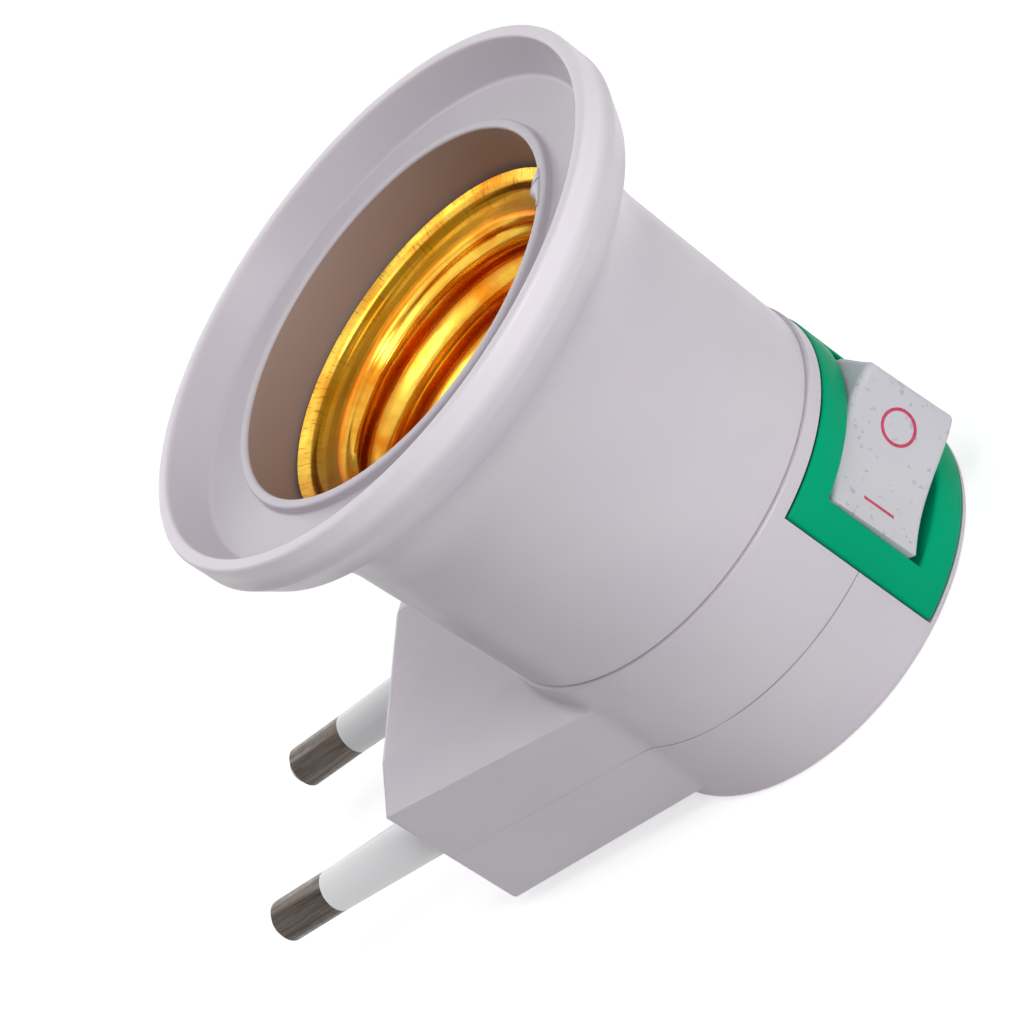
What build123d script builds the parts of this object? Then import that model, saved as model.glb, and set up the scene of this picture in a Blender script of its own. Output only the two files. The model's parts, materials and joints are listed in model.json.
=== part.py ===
from build123d import *
import math
import os

# Plug-in lamp holder with a two-pin plug, a rocker switch and a screw lamp socket, in millimetres.
# +Z runs up the lamp axis, the rocker faces -Y, the plug pins point along +Y, and z = 0 is the foot.

# Clearances
running_gap = 0.05
seat_gap = 0.1
contact_gap = 0.03

# Radii that the lamp thread sets, from the thread outward
thread_major = 13.3
thread_minor_step = 1.1
bore_margin = 3.42
base_margin = 1.33
thread_minor = thread_major - thread_minor_step
bore_radius = thread_major + bore_margin

# Round base, a lower and an upper half
base_radius = bore_radius + base_margin
base_wall = 1.5
floor_thickness = 1.5
parting_height = 8.9
seam_height = 18.55
deck_drop = 1.25
deck_top = seam_height - deck_drop
deck_thickness = 1.7
foot_rounding = 0.6
seam_rounding = 0.2
deck_bottom = deck_top - deck_thickness
base_inside = base_radius - base_wall

# Plug block: half sizes of its eight-sided section at the face and at the root inside the base
block_face = 33.0
block_root = 6.0
block_wall = 1.7
front_wall = 3.2
face_half_width = 13.95
face_side_half_height = 7.4
face_half_height = 8.4
face_flat_half_width = 8.5
root_half_width = 16.07
root_side_half_height = 6.31
root_half_height = 7.5
root_flat_half_width = 8.89
block_rounding = 0.8

# Plug pins, which lean towards each other
pin_radius = 2.0
pin_neck_radius = 1.5
pin_tail_radius = 1.0
pin_half_spacing = 9.41
pin_lean = 1.41
pin_length = 22.3
pin_sleeve_length = 15.0
pin_tip_rounding = 0.7
sleeve_root_radius = 2.3
sleeve_flange_radius = 3.3
sleeve_flange_thickness = 1.4
pin_rib_thickness = 1.6
pin_rib_front = block_face - front_wall - sleeve_flange_thickness - 2 * seat_gap
pin_rib_back = pin_rib_front - pin_rib_thickness

# Lip of the brass lamp shell, which the sleeve's heights follow
shell_band_height = 40.9
shell_lip_rise = 0.4
shell_lip_height = shell_band_height + shell_lip_rise

# Lamp sleeve
sleeve_foot_step = 0.3
waist_step = 0.15
sleeve_waist_drop = 10.3
flare_radius = 9.0
flare_step = 0.58
rim_reach = 6.38
sleeve_foot_radius = base_radius - sleeve_foot_step
sleeve_waist_radius = base_radius + waist_step
rim_radius = sleeve_waist_radius + rim_reach
rim_depth = 3.2
rim_rise = 3.5
crest_width = 1.13
dish_slope = 1.35
dish_rise = 4.2
lip_width = 0.87
lip_rise = 0.9
flare_end_radius = rim_radius - flare_step
crest_radius = rim_radius - crest_width
dish_radius = crest_radius - dish_slope
lip_radius = bore_radius + lip_width
dish_height = shell_lip_height + dish_rise
lip_height = dish_height + lip_rise
rim_top = dish_height + rim_rise
rim_low = rim_top - rim_depth
sleeve_waist_height = rim_low - sleeve_waist_drop
rim_rounding = 0.5
lip_rounding = 0.25
nub_width = 5.0
nub_reach = 0.7
nub_height = 1.8
nub_slit = 0.5
nub_angle = -83.0

# Collar that the sleeve snaps onto
collar_radius = bore_radius - seat_gap
collar_wall = 1.2
collar_rise = 2.95
collar_top = seam_height + collar_rise
snap_reach = 0.35
snap_height = 1.0
snap_rise = 0.95
snap_low = seam_height + snap_rise
snap_half_angle = 12.0
snap_angles = (30, 150, 210, 330)
collar_inside = collar_radius - collar_wall

# Insulating cup and brass lamp shell
sheet = 0.35
cup_floor = 1.8
cup_foot_radius = collar_inside - seat_gap
cup_radius = bore_radius - seat_gap
cup_thread_gap = 0.9
cup_foot_inside = thread_major + cup_thread_gap
cup_lip_width = 0.6
shell_lip_gap = 0.38
shell_lip_radius = bore_radius - shell_lip_gap
cup_lip_radius = shell_lip_radius - 0.24
cup_lip_inside = cup_lip_radius - cup_lip_width
thread_pitch = 3.63
shell_band_width = 1.55
shell_band_radius = thread_major + shell_band_width
shell_neck = 2.175
shell_foot = 1.25
shell_flange_width = 4.7
shell_flange_inside = thread_major - shell_flange_width
rivet_radius = 1.0
rivet_head_radius = 1.7
rivet_head = 0.55
shell_rivet_inset = 2.9
shell_rivet_place = thread_major - shell_rivet_inset
cup_bottom = deck_top
cup_floor_top = cup_bottom + cup_floor

# Centre contact
tongue_half_width = 2.0
tongue_pad_end = -7.6
tongue_bend = -3.6
tongue_rise = 2.9
tongue_top = cup_floor_top + tongue_rise
centre_rivet_place = -5.5

# Brass strips in the base
strip = 0.5
strip_half_width = 1.9
strip_offset = 9.9
strip_tab_place = pin_rib_back - 3 * strip / 2
live_drop = 4.6
live_height = parting_height - live_drop
live_turn = 8.5
neutral_lift = 3.9
neutral_height = parting_height + neutral_lift
neutral_rise = 9.25
recess_floor = deck_top - strip - 2 * seat_gap
strip_seat = deck_top - strip
switched_place = 4.9
switched_half_width = 1.5
switched_tab_end = -7.2

# Switch frame
bezel_stand = 0.15
bezel_depth = 1.9
bezel_radius = base_radius + bezel_stand
bezel_back = bezel_radius - bezel_depth
bezel_low = 0.8
bezel_top_drop = 1.45
bezel_high = seam_height - bezel_top_drop
bezel_half_angle = 38.8
bezel_flange_depth = 1.1
bezel_flange_inside = bezel_back - bezel_flange_depth
bezel_flange_half_angle = 43.0
bezel_flange_low = floor_thickness + seat_gap
bezel_flange_high = deck_bottom - seat_gap
window_low = 3.8
window_top_margin = 2.95
window_high = bezel_high - window_top_margin
ear_thickness = 1.2
ear_half_width = 3.2

# Rocker, drawn level and tilted to rest with its I end pressed
pivot_depth = 5.94
pivot_place = pivot_depth - bezel_radius
rocker_tilt = 19.6
rocker_side_gap = 0.3
rocker_low_gap = 1.0
rocker_tip = 6.5
rocker_reach = 7.12
rocker_dip = 0.6
rocker_drum = 9.15
rocker_skirt_angle = 2.0
rocker_wall = 1.0
rocker_edge = 0.4
rocker_gap = 0.2
pivot_radius = 1.05
pivot_boss_radius = 2.2
tube_radius = 2.3
tube_end = 4.6
plunger_radius = 1.38
plunger_tip = 6.6
plunger_back = 1.2
spring_seat = -4.9
spring_radius = 1.12
spring_wire = 0.17
spring_turns = 6
rocker_low = window_low + rocker_low_gap
rocker_high = window_high - rocker_side_gap
rocker_middle = (rocker_low + rocker_high) / 2
tube_bore = plunger_radius + running_gap

# See-saw contact and its terminals
seesaw_reach = 7.2
seesaw_place = pivot_place + seesaw_reach
seesaw_tilt = 0.4 * rocker_tilt
seesaw_half_length = 5.6
seesaw_half_width = 2.35
seesaw_thickness = 0.5
tip_radius = 1.0
tip_height = 0.35
terminal_reach = 1.36
terminal_face = seesaw_place + terminal_reach
tray_face = terminal_face + strip
tray_thickness = 2.3
tray_half_length = 7.8
fulcrum_half_width = 0.7
fulcrum_half_length = 1.45
guide_half_width = 0.35
guide_height = 0.65
guide_reach = 1.0

# Screws
screw_inset = 5.85
front_screw_place = base_radius - screw_inset
housing_screw_places = ((0.0, 24.0), (-front_screw_place, 2.5), (front_screw_place, 2.5))
core_screw_places = ((-4.4, 4.4), (4.4, 4.4))
screw_radius = 1.2
screw_hole_radius = 1.45
screw_head_radius = 2.3
screw_head = 1.5
head_seat = 3.4
block_screw_rise = 4.9
front_screw_drop = 1.8
block_screw_length = parting_height + block_screw_rise - head_seat
front_screw_length = deck_bottom - front_screw_drop - head_seat
housing_screw_lengths = (block_screw_length, front_screw_length, front_screw_length)
pilot_spare = 0.5
screw_boss_radius = 3.2
pilot_boss_radius = 2.9
cup_boss_radius = 2.2
cup_boss_height = 1.5

os.makedirs("parts", exist_ok=True)


def sector(inner, outer, half_angle):
    """Ring sector that faces the rocker side."""
    reach = 2 * outer
    edge = (reach * math.sin(math.radians(half_angle)), -reach * math.cos(math.radians(half_angle)))
    with BuildSketch() as shape:
        Circle(outer)
        Circle(inner, mode=Mode.SUBTRACT)
        with BuildLine():
            Polyline((0, 0), edge, (-edge[0], edge[1]), close=True)
        make_face(mode=Mode.INTERSECT)
    return shape.sketch


def block_section(half_width, side_half_height, half_height, flat_half_width):
    """Eight-sided section of the plug block."""
    with BuildSketch() as shape:
        with BuildLine():
            Polyline(
                (half_width, -side_half_height),
                (half_width, side_half_height),
                (flat_half_width, half_height),
                (-flat_half_width, half_height),
                (-half_width, side_half_height),
                (-half_width, -side_half_height),
                (-flat_half_width, -half_height),
                (flat_half_width, -half_height),
                close=True,
            )
        make_face()
    return shape.sketch


def plug_block(inset, front, rounding=0.0):
    """Plug block from its root to a front face, narrowed by inset all round."""
    root = (root_half_width, root_side_half_height, root_half_height, root_flat_half_width)
    face = (face_half_width, face_side_half_height, face_half_height, face_flat_half_width)
    with BuildPart() as block:
        for place, sizes in ((block_root, root), (front, face)):
            with BuildSketch(Plane((0, place, parting_height), x_dir=(1, 0, 0), z_dir=(0, 1, 0))):
                add(block_section(*[size - inset for size in sizes]))
        loft(ruled=True)
        if rounding > 0:
            fillet(block.faces().sort_by(Axis.Y)[-1].edges(), rounding)
    return block.part


def pin_plane(side):
    """Plane along a pin, with its origin at the plug's face and X along the pin."""
    lean = math.radians(pin_lean)
    direction = (-side * math.sin(lean), math.cos(lean), 0)
    return Plane((side * pin_half_spacing, block_face, parting_height), x_dir=direction, z_dir=(0, 0, 1))


def turned_on_pin(side, outline):
    """Solid turned about a pin's axis, from (distance past the face, radius) points."""
    plane = pin_plane(side)
    with BuildPart() as solid:
        with BuildSketch(plane):
            with BuildLine():
                Polyline(*outline, close=True)
            make_face()
        revolve(axis=Axis(plane.origin, plane.x_dir))
    return solid.part


def pin_passage():
    """Space that both pins and their sleeves need in the housing."""
    flange_back = -front_wall - sleeve_flange_thickness - 2 * seat_gap
    neck = pin_neck_radius + running_gap
    root = sleeve_root_radius + running_gap
    outline = ((1, 0), (1, root), (-front_wall, root), (-front_wall, sleeve_flange_radius + seat_gap),
               (flange_back, sleeve_flange_radius + seat_gap), (flange_back, neck),
               (pin_rib_back - block_face - 1, neck), (pin_rib_back - block_face - 1, 0))
    with BuildPart() as passage:
        for side in (-1, 1):
            add(turned_on_pin(side, outline))
    return passage.part


def housing():
    """Both halves of the housing in one, hollow, before they are parted."""
    with BuildPart() as body:
        with BuildSketch(Plane.XY):
            Circle(base_radius)
        extrude(amount=seam_height)
        fillet(body.edges().group_by(Axis.Z)[0], foot_rounding)
        fillet(body.edges().group_by(Axis.Z)[-1], seam_rounding)
        add(plug_block(0, block_face, block_rounding))
        with BuildSketch(Plane.XY.offset(floor_thickness)):
            Circle(base_inside)
        extrude(amount=deck_bottom - floor_thickness, mode=Mode.SUBTRACT)
        add(plug_block(block_wall, block_face - front_wall), mode=Mode.SUBTRACT)
        with BuildSketch(Plane.XY.offset(parting_height - face_side_half_height + block_wall / 2)):
            with Locations((0, (pin_rib_front + pin_rib_back) / 2)):
                Rectangle(2 * (face_half_width - block_wall / 2), pin_rib_thickness)
        extrude(amount=2 * face_side_half_height - block_wall)
        add(pin_passage(), mode=Mode.SUBTRACT)
        with BuildSketch(Plane.XY.offset(bezel_low - seat_gap)):
            add(sector(bezel_back - seat_gap, 2 * base_radius, bezel_half_angle + 0.3))
        extrude(amount=bezel_high - bezel_low + 2 * seat_gap, mode=Mode.SUBTRACT)
    return body.part


def bent_strip(points, half_width, centre, bend=0.8, thickness=strip):
    """Strip bent along a line of (y, z) points, centred on its thickness, drawn across x."""
    with BuildPart() as piece:
        with BuildSketch(Plane((centre, 0, 0), x_dir=(0, 1, 0), z_dir=(1, 0, 0))):
            with BuildLine():
                FilletPolyline(*points, radius=bend)
                offset(amount=thickness / 2, side=Side.BOTH, kind=Kind.INTERSECTION)
            make_face()
        extrude(amount=half_width, both=True)
    return piece.part


def rivet(x, y, bottom, top):
    """Rivet upright between its two heads."""
    with BuildPart() as piece:
        with BuildSketch(Plane.XY.offset(bottom - rivet_head)):
            with Locations((x, y)):
                Circle(rivet_head_radius)
        extrude(amount=rivet_head)
        with BuildSketch(Plane.XY.offset(bottom)):
            with Locations((x, y)):
                Circle(rivet_radius)
        extrude(amount=top - bottom)
        with BuildSketch(Plane.XY.offset(top)):
            with Locations((x, y)):
                Circle(rivet_head_radius)
        extrude(amount=rivet_head)
        fillet(piece.edges().group_by(Axis.Z)[-1], rivet_head / 2)
        fillet(piece.edges().group_by(Axis.Z)[0], rivet_head / 2)
    return piece.part


# Lamp sleeve: flared rim, shallow dish, tube lip and bore, turned in one piece
flare_centre = sleeve_waist_radius + flare_radius
flare_end_angle = math.degrees(math.acos((flare_end_radius - flare_centre) / flare_radius))
flare_end_height = sleeve_waist_height + flare_radius * math.sin(math.radians(flare_end_angle))
with BuildPart() as mouth_sleeve:
    with BuildSketch(Plane.XZ) as sleeve_section:
        with BuildLine():
            Polyline((sleeve_waist_radius, sleeve_waist_height), (sleeve_foot_radius, seam_height),
                     (bore_radius, seam_height), (bore_radius, lip_height), (lip_radius, lip_height),
                     (lip_radius, dish_height), (dish_radius, dish_height), (crest_radius, rim_top),
                     (rim_radius, rim_top), (rim_radius, rim_low), (flare_end_radius, flare_end_height))
            CenterArc((flare_centre, sleeve_waist_height), flare_radius, 180, flare_end_angle - 180)
        make_face()
        corners = sleeve_section.vertices()
        fillet(corners.filter_by(lambda v: v.X > dish_radius + 0.1 and v.Y > rim_low - 0.1), rim_rounding)
        fillet(corners.filter_by(lambda v: abs(v.Y - lip_height) < 0.01), lip_rounding)
    revolve(axis=Axis.Z)
    with BuildSketch(Plane.XY.offset(snap_low - seat_gap)):
        Circle(bore_radius + snap_reach)
        Circle(bore_radius - 1, mode=Mode.SUBTRACT)
    extrude(amount=snap_height + 2 * seat_gap, mode=Mode.SUBTRACT)
    with BuildSketch(Plane.XY.offset(lip_height - lip_rounding - nub_height)):
        with Locations(Rotation(0, 0, nub_angle)):
            with Locations((bore_radius - nub_reach / 2 + 0.2, 0)):
                Rectangle(nub_reach + 0.4, nub_width)
                Rectangle(nub_reach + 0.4, nub_slit, mode=Mode.SUBTRACT)
    extrude(amount=nub_height)
mouth_sleeve.part.label = "mouth_sleeve"
export_step(mouth_sleeve.part, "parts/mouth_sleeve.step")


# Upper half: deck, snap collar, screw bosses and the upper half of the plug block
with BuildPart() as base_upper:
    add(housing())
    split(bisect_by=Plane.XY.offset(parting_height), keep=Keep.TOP)
    with BuildSketch(Plane.XY.offset(deck_top)):
        Circle(collar_inside)
    extrude(amount=seam_height - deck_top, mode=Mode.SUBTRACT)
    with BuildSketch(Plane.XY.offset(seam_height)):
        Circle(collar_radius)
        Circle(collar_inside, mode=Mode.SUBTRACT)
    extrude(amount=collar_top - seam_height)
    chamfer(base_upper.edges().group_by(Axis.Z)[-1].sort_by(SortBy.LENGTH)[-1], seat_gap * 3)
    with BuildSketch(Plane.XY.offset(snap_low)):
        for angle in snap_angles:
            with Locations(Rotation(0, 0, angle + 90)):
                add(sector(collar_radius - 0.2, collar_radius + snap_reach, snap_half_angle))
    extrude(amount=snap_height, taper=10)
    with BuildSketch(Plane.XY.offset(parting_height)):
        with Locations(*housing_screw_places):
            Circle(pilot_boss_radius)
    extrude(amount=deck_bottom - parting_height + 0.2)
    for place, length in zip(housing_screw_places, housing_screw_lengths):
        with BuildSketch(Plane.XY.offset(parting_height)):
            with Locations(place):
                Circle(screw_radius + 0.01)
        extrude(amount=head_seat + length + pilot_spare - parting_height, mode=Mode.SUBTRACT)
    with BuildSketch(Plane.XY.offset(deck_bottom)):
        with Locations(*core_screw_places):
            Circle(screw_hole_radius)
        with Locations((-shell_rivet_place, 0), (shell_rivet_place, 0), (0, centre_rivet_place)):
            Circle(rivet_head_radius + seat_gap)
    extrude(amount=deck_thickness, mode=Mode.SUBTRACT)
    slot_half_width = strip_half_width + seat_gap
    with BuildSketch(Plane.XY.offset(recess_floor)):
        with Locations((strip_offset, neutral_rise / 2 - 1)):
            Rectangle(2 * slot_half_width, neutral_rise + 2.7)
        with Locations(((switched_place + 1.5 - 2) / 2, (switched_tab_end + terminal_face + strip) / 2)):
            Rectangle(switched_place + 3.7, tray_face - switched_tab_end + 0.2)
    extrude(amount=deck_top - recess_floor, mode=Mode.SUBTRACT)
    with BuildSketch(Plane.XY.offset(deck_bottom)):
        with Locations((strip_offset, neutral_rise)):
            Rectangle(2 * slot_half_width, strip + 2 * seat_gap)
        with Locations((switched_place, terminal_face + strip / 2)):
            Rectangle(2 * (switched_half_width + seat_gap), strip + 2 * seat_gap)
    extrude(amount=deck_thickness, mode=Mode.SUBTRACT)
base_upper.part.label = "base_upper"
export_step(base_upper.part, "parts/base_upper.step")


# Lower half: floor, counterbored screw bosses, tray ribs and the lower half of the plug block
with BuildPart() as base_lower:
    add(housing())
    split(bisect_by=Plane.XY.offset(parting_height), keep=Keep.BOTTOM)
    with BuildSketch(Plane.XY.offset(floor_thickness)):
        with Locations(*housing_screw_places):
            Circle(screw_boss_radius)
    extrude(amount=parting_height - floor_thickness)
    with BuildSketch(Plane.XY):
        with Locations(*housing_screw_places):
            Circle(screw_hole_radius)
    extrude(amount=parting_height, mode=Mode.SUBTRACT)
    with BuildSketch(Plane.XY):
        with Locations(*housing_screw_places):
            Circle(screw_head_radius + seat_gap)
    extrude(amount=head_seat, mode=Mode.SUBTRACT)
    with BuildSketch(Plane.XY.offset(floor_thickness)):
        with Locations((0, tray_face + tray_thickness + 1)):
            Rectangle(2 * tray_half_length, 1.4)
        with Locations((-strip_offset, live_turn + 4)):
            Rectangle(2 * strip_half_width, 1.4)
    extrude(amount=live_height - floor_thickness)
base_lower.part.label = "base_lower"
export_step(base_lower.part, "parts/base_lower.step")


# Green frame: curved plate, flange behind the base wall and two ears for the rocker's pivots
with BuildPart() as switch_bezel:
    with BuildSketch(Plane.XY.offset(bezel_low)):
        add(sector(bezel_back, bezel_radius, bezel_half_angle))
    extrude(amount=bezel_high - bezel_low)
    with BuildSketch(Plane.XY.offset(bezel_flange_low)):
        add(sector(bezel_flange_inside, base_inside - seat_gap, bezel_flange_half_angle))
    extrude(amount=bezel_flange_high - bezel_flange_low)
    for height in (window_low - ear_thickness, window_high):
        with BuildSketch(Plane.XY.offset(height)):
            with Locations((0, pivot_place)):
                Circle(ear_half_width)
            with Locations((0, (pivot_place - bezel_back) / 2)):
                Rectangle(2 * ear_half_width, bezel_back + pivot_place)
        extrude(amount=ear_thickness)
    with BuildSketch(Plane.XY.offset(window_low)):
        with Locations((0, pivot_place)):
            Circle(rocker_drum + rocker_gap)
    extrude(amount=window_high - window_low, mode=Mode.SUBTRACT)
    with BuildSketch(Plane.XY.offset(window_low - ear_thickness)):
        with Locations((0, pivot_place)):
            Circle(pivot_radius + running_gap)
    extrude(amount=window_high - window_low + 2 * ear_thickness, mode=Mode.SUBTRACT)
switch_bezel.part.label = "switch_bezel"
export_step(switch_bezel.part, "parts/switch_bezel.step")


# Rocker: V-shaped face, curved ends about the pivot, open back, spring tube and two pivot stubs
def rocker_outline(inset, back):
    """Side outline of the rocker about its pivot, narrowed by inset and open to the back."""
    drum = rocker_drum - inset
    tip = rocker_tip - inset
    face = -(rocker_reach - inset)
    skirt = math.radians(rocker_skirt_angle)
    shoulder = math.degrees(math.acos(tip / drum))
    shoulder_height = -math.sqrt(drum**2 - tip**2)
    end = (drum * math.cos(skirt), drum * math.sin(skirt))
    with BuildSketch() as shape:
        with BuildLine():
            Polyline((tip, shoulder_height), (tip, face), (0, face + rocker_dip), (-tip, face),
                     (-tip, shoulder_height))
            CenterArc((0, 0), drum, -shoulder, shoulder + rocker_skirt_angle)
            CenterArc((0, 0), drum, 180 + shoulder, -shoulder - rocker_skirt_angle)
            Polyline(end, (end[0], end[1] + back), (-end[0], end[1] + back), (-end[0], end[1]))
        make_face()
    return shape.sketch


rest = math.radians(rocker_tilt)
across = (math.cos(rest), -math.sin(rest), 0)
inward = (math.sin(rest), math.cos(rest), 0)
pivot_centre = Vector(0, pivot_place, rocker_middle)


def rocker_plane(height):
    """Plane across the pivot, turned to the rocker's rest."""
    return Plane((0, pivot_place, height), x_dir=across, z_dir=(0, 0, 1))


def tube_plane(distance):
    """Plane across the spring tube, a distance inward of the pivot."""
    return Plane(pivot_centre + Vector(*inward) * distance, x_dir=across, z_dir=inward)


with BuildPart() as rocker_button:
    with BuildSketch(rocker_plane(rocker_low)):
        add(rocker_outline(0, 0.1))
    extrude(amount=rocker_high - rocker_low)
    face_edges = rocker_button.edges().filter_by(Axis.Z).sort_by(Axis((0, 0, 0), inward))
    fillet(face_edges[:2], rocker_edge)
    with BuildSketch(rocker_plane(rocker_low)):
        Circle(pivot_boss_radius)
    extrude(amount=rocker_high - rocker_low)
    with BuildSketch(rocker_plane(rocker_low + rocker_wall)):
        add(rocker_outline(rocker_wall, 3.5))
    extrude(amount=rocker_high - rocker_low - 2 * rocker_wall, mode=Mode.SUBTRACT)
    with BuildSketch(tube_plane(-rocker_reach + rocker_dip + rocker_wall / 2)):
        Circle(tube_radius)
    extrude(amount=tube_end + rocker_reach - rocker_dip - rocker_wall / 2)
    with BuildSketch(tube_plane(spring_seat)):
        Circle(tube_bore)
    extrude(amount=tube_end - spring_seat, mode=Mode.SUBTRACT)
    for height, amount in ((rocker_low, -ear_thickness - rocker_low_gap + rocker_side_gap),
                           (rocker_high, ear_thickness)):
        with BuildSketch(rocker_plane(height)):
            Circle(pivot_radius)
        extrude(amount=amount)
rocker_button.part.label = "rocker_button"
export_step(rocker_button.part, "parts/rocker_button.step")


# Plunger, turned, with a spigot for the spring and a domed tip
with BuildPart() as rocker_plunger:
    with BuildSketch(rocker_plane(rocker_middle)):
        with BuildLine():
            Polyline((0, plunger_tip), (0, plunger_back - 1.5), (0.75, plunger_back - 1.5),
                     (0.75, plunger_back), (plunger_radius, plunger_back),
                     (plunger_radius, plunger_tip - plunger_radius))
            CenterArc((0, plunger_tip - plunger_radius), plunger_radius, 0, 90)
        make_face()
    revolve(axis=Axis(pivot_centre, inward))
rocker_plunger.part.label = "rocker_plunger"
export_step(rocker_plunger.part, "parts/rocker_plunger.step")


# Coil spring between the bottom of the tube and the plunger
spring_start = spring_seat + spring_wire + running_gap
spring_length = plunger_back - spring_wire - running_gap - spring_start
with BuildPart() as rocker_spring:
    with BuildLine():
        coil = Helix(spring_length / spring_turns, spring_length, spring_radius,
                     center=pivot_centre + Vector(*inward) * spring_start, direction=inward)
    with BuildSketch(Plane(coil @ 0, z_dir=coil % 0)):
        Circle(spring_wire)
    sweep(path=coil, is_frenet=True)
rocker_spring.part.label = "rocker_spring"
export_step(rocker_spring.part, "parts/rocker_spring.step")


# See-saw contact: a strip with notches for the guides, tilted to rest with its +X end closed
rest_seesaw = math.radians(seesaw_tilt)
seesaw_along = (math.cos(rest_seesaw), math.sin(rest_seesaw), 0)
seesaw_inward = (-math.sin(rest_seesaw), math.cos(rest_seesaw), 0)


def seesaw_plane(height):
    """Plane across the see-saw's edge, with X along it and Y inward."""
    return Plane((0, seesaw_place, height), x_dir=seesaw_along, z_dir=(0, 0, 1))


tip_centre = Vector(0, seesaw_place, rocker_middle) + Vector(*seesaw_along) * switched_place
guide_middle = fulcrum_half_length + guide_height / 2 + seat_gap
with BuildPart() as rocking_contact:
    with BuildSketch(seesaw_plane(rocker_middle - seesaw_half_width)):
        with Locations((0, -seesaw_thickness / 2)):
            Rectangle(2 * seesaw_half_length, seesaw_thickness)
    extrude(amount=2 * seesaw_half_width)
    fillet(rocking_contact.edges().filter_by(Axis(tip_centre, seesaw_inward)), 0.6)
    for side in (-1, 1):
        with BuildSketch(seesaw_plane(rocker_middle + side * seesaw_half_width)):
            Rectangle(4 * guide_half_width, 4 * seesaw_thickness)
        notch = seesaw_half_width - fulcrum_half_length
        extrude(amount=-side * notch, mode=Mode.SUBTRACT)
    with BuildSketch(Plane(tip_centre, x_dir=(0, 0, 1), z_dir=seesaw_inward)):
        Circle(tip_radius / 2)
    extrude(amount=-seesaw_thickness, mode=Mode.SUBTRACT)
rocking_contact.part.label = "rocking_contact"
export_step(rocking_contact.part, "parts/rocking_contact.step")


with BuildPart() as moving_contact:
    with BuildSketch(Plane(tip_centre, x_dir=(0, 0, 1), z_dir=seesaw_inward)):
        Circle(tip_radius)
    extrude(amount=tip_height)
    fillet(moving_contact.edges().sort_by(Axis(tip_centre, seesaw_inward))[-1], tip_height / 2)
    with BuildSketch(Plane(tip_centre, x_dir=(0, 0, 1), z_dir=seesaw_inward)):
        Circle(tip_radius / 2)
    extrude(amount=-seesaw_thickness)
moving_contact.part.label = "moving_contact"
export_step(moving_contact.part, "parts/moving_contact.step")


# Fixed contact rivet, which the moving contact rests on
moving_low = seesaw_place + switched_place * math.sin(rest_seesaw) + tip_height * math.cos(rest_seesaw)
moving_low += tip_radius * math.sin(rest_seesaw) / 2
terminal_plane = Plane((switched_place, terminal_face, rocker_middle), x_dir=(1, 0, 0), z_dir=(0, 1, 0))
with BuildPart() as load_contact:
    with BuildSketch(terminal_plane):
        Circle(tip_radius)
    extrude(amount=moving_low + contact_gap - terminal_face)
    fillet(load_contact.edges().sort_by(Axis.Y)[0], 0.1)
    with BuildSketch(terminal_plane):
        Circle(tip_radius / 2)
    extrude(amount=strip)
load_contact.part.label = "load_contact"
export_step(load_contact.part, "parts/load_contact.step")


# Common terminal: plate with a foot, the fulcrum ridge and two guides for the see-saw
with BuildPart() as common_terminal:
    foot_length = tray_thickness + strip
    with BuildSketch(Plane.XY.offset(live_height + strip)):
        with Locations((0, terminal_face + foot_length / 2)):
            Rectangle(3.2, foot_length)
    extrude(amount=strip)
    with BuildSketch(Plane.XY.offset(live_height + strip)):
        with Locations((0, terminal_face + strip / 2)):
            Rectangle(3.2, strip)
    extrude(amount=rocker_middle + guide_middle + 1 - live_height - strip)
    with BuildSketch(Plane.XY.offset(rocker_middle - fulcrum_half_length)):
        with BuildLine():
            Polyline((-fulcrum_half_width, terminal_face), (fulcrum_half_width, terminal_face),
                     (0, seesaw_place + contact_gap), close=True)
        make_face()
    extrude(amount=2 * fulcrum_half_length)
    for side in (-1, 1):
        with BuildSketch(Plane.XY.offset(rocker_middle + side * guide_middle - guide_height / 2)):
            with Locations((0, terminal_face - guide_reach)):
                Rectangle(2 * guide_half_width, 2 * guide_reach)
        extrude(amount=guide_height)
common_terminal.part.label = "common_terminal"
export_step(common_terminal.part, "parts/common_terminal.step")


# Insulating wall behind the terminals, with a stop for the see-saw's open end
with BuildPart() as switch_tray:
    with BuildSketch(Plane.XY.offset(floor_thickness)):
        with Locations((0, tray_face + tray_thickness / 2)):
            Rectangle(2 * tray_half_length, tray_thickness)
    extrude(amount=deck_bottom - floor_thickness)
    with BuildSketch(Plane.XY.offset(floor_thickness)):
        with Locations((0, tray_face + tray_thickness / 2)):
            Rectangle(2 * (strip_half_width + seat_gap), tray_thickness)
    extrude(amount=live_height + 2 * strip - floor_thickness, mode=Mode.SUBTRACT)
    with BuildSketch(Plane.XY.offset(rocker_middle - seesaw_half_width)):
        stop_reach = tray_face - seesaw_place - seesaw_half_length * math.sin(rest_seesaw) - contact_gap
        with Locations((-switched_place, tray_face - stop_reach / 2)):
            Rectangle(2, stop_reach)
    extrude(amount=2 * seesaw_half_width)
    with BuildSketch(terminal_plane.offset(strip)):
        Circle(tip_radius)
    extrude(amount=tray_thickness / 2, mode=Mode.SUBTRACT)
switch_tray.part.label = "switch_tray"
export_step(switch_tray.part, "parts/switch_tray.step")


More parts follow.
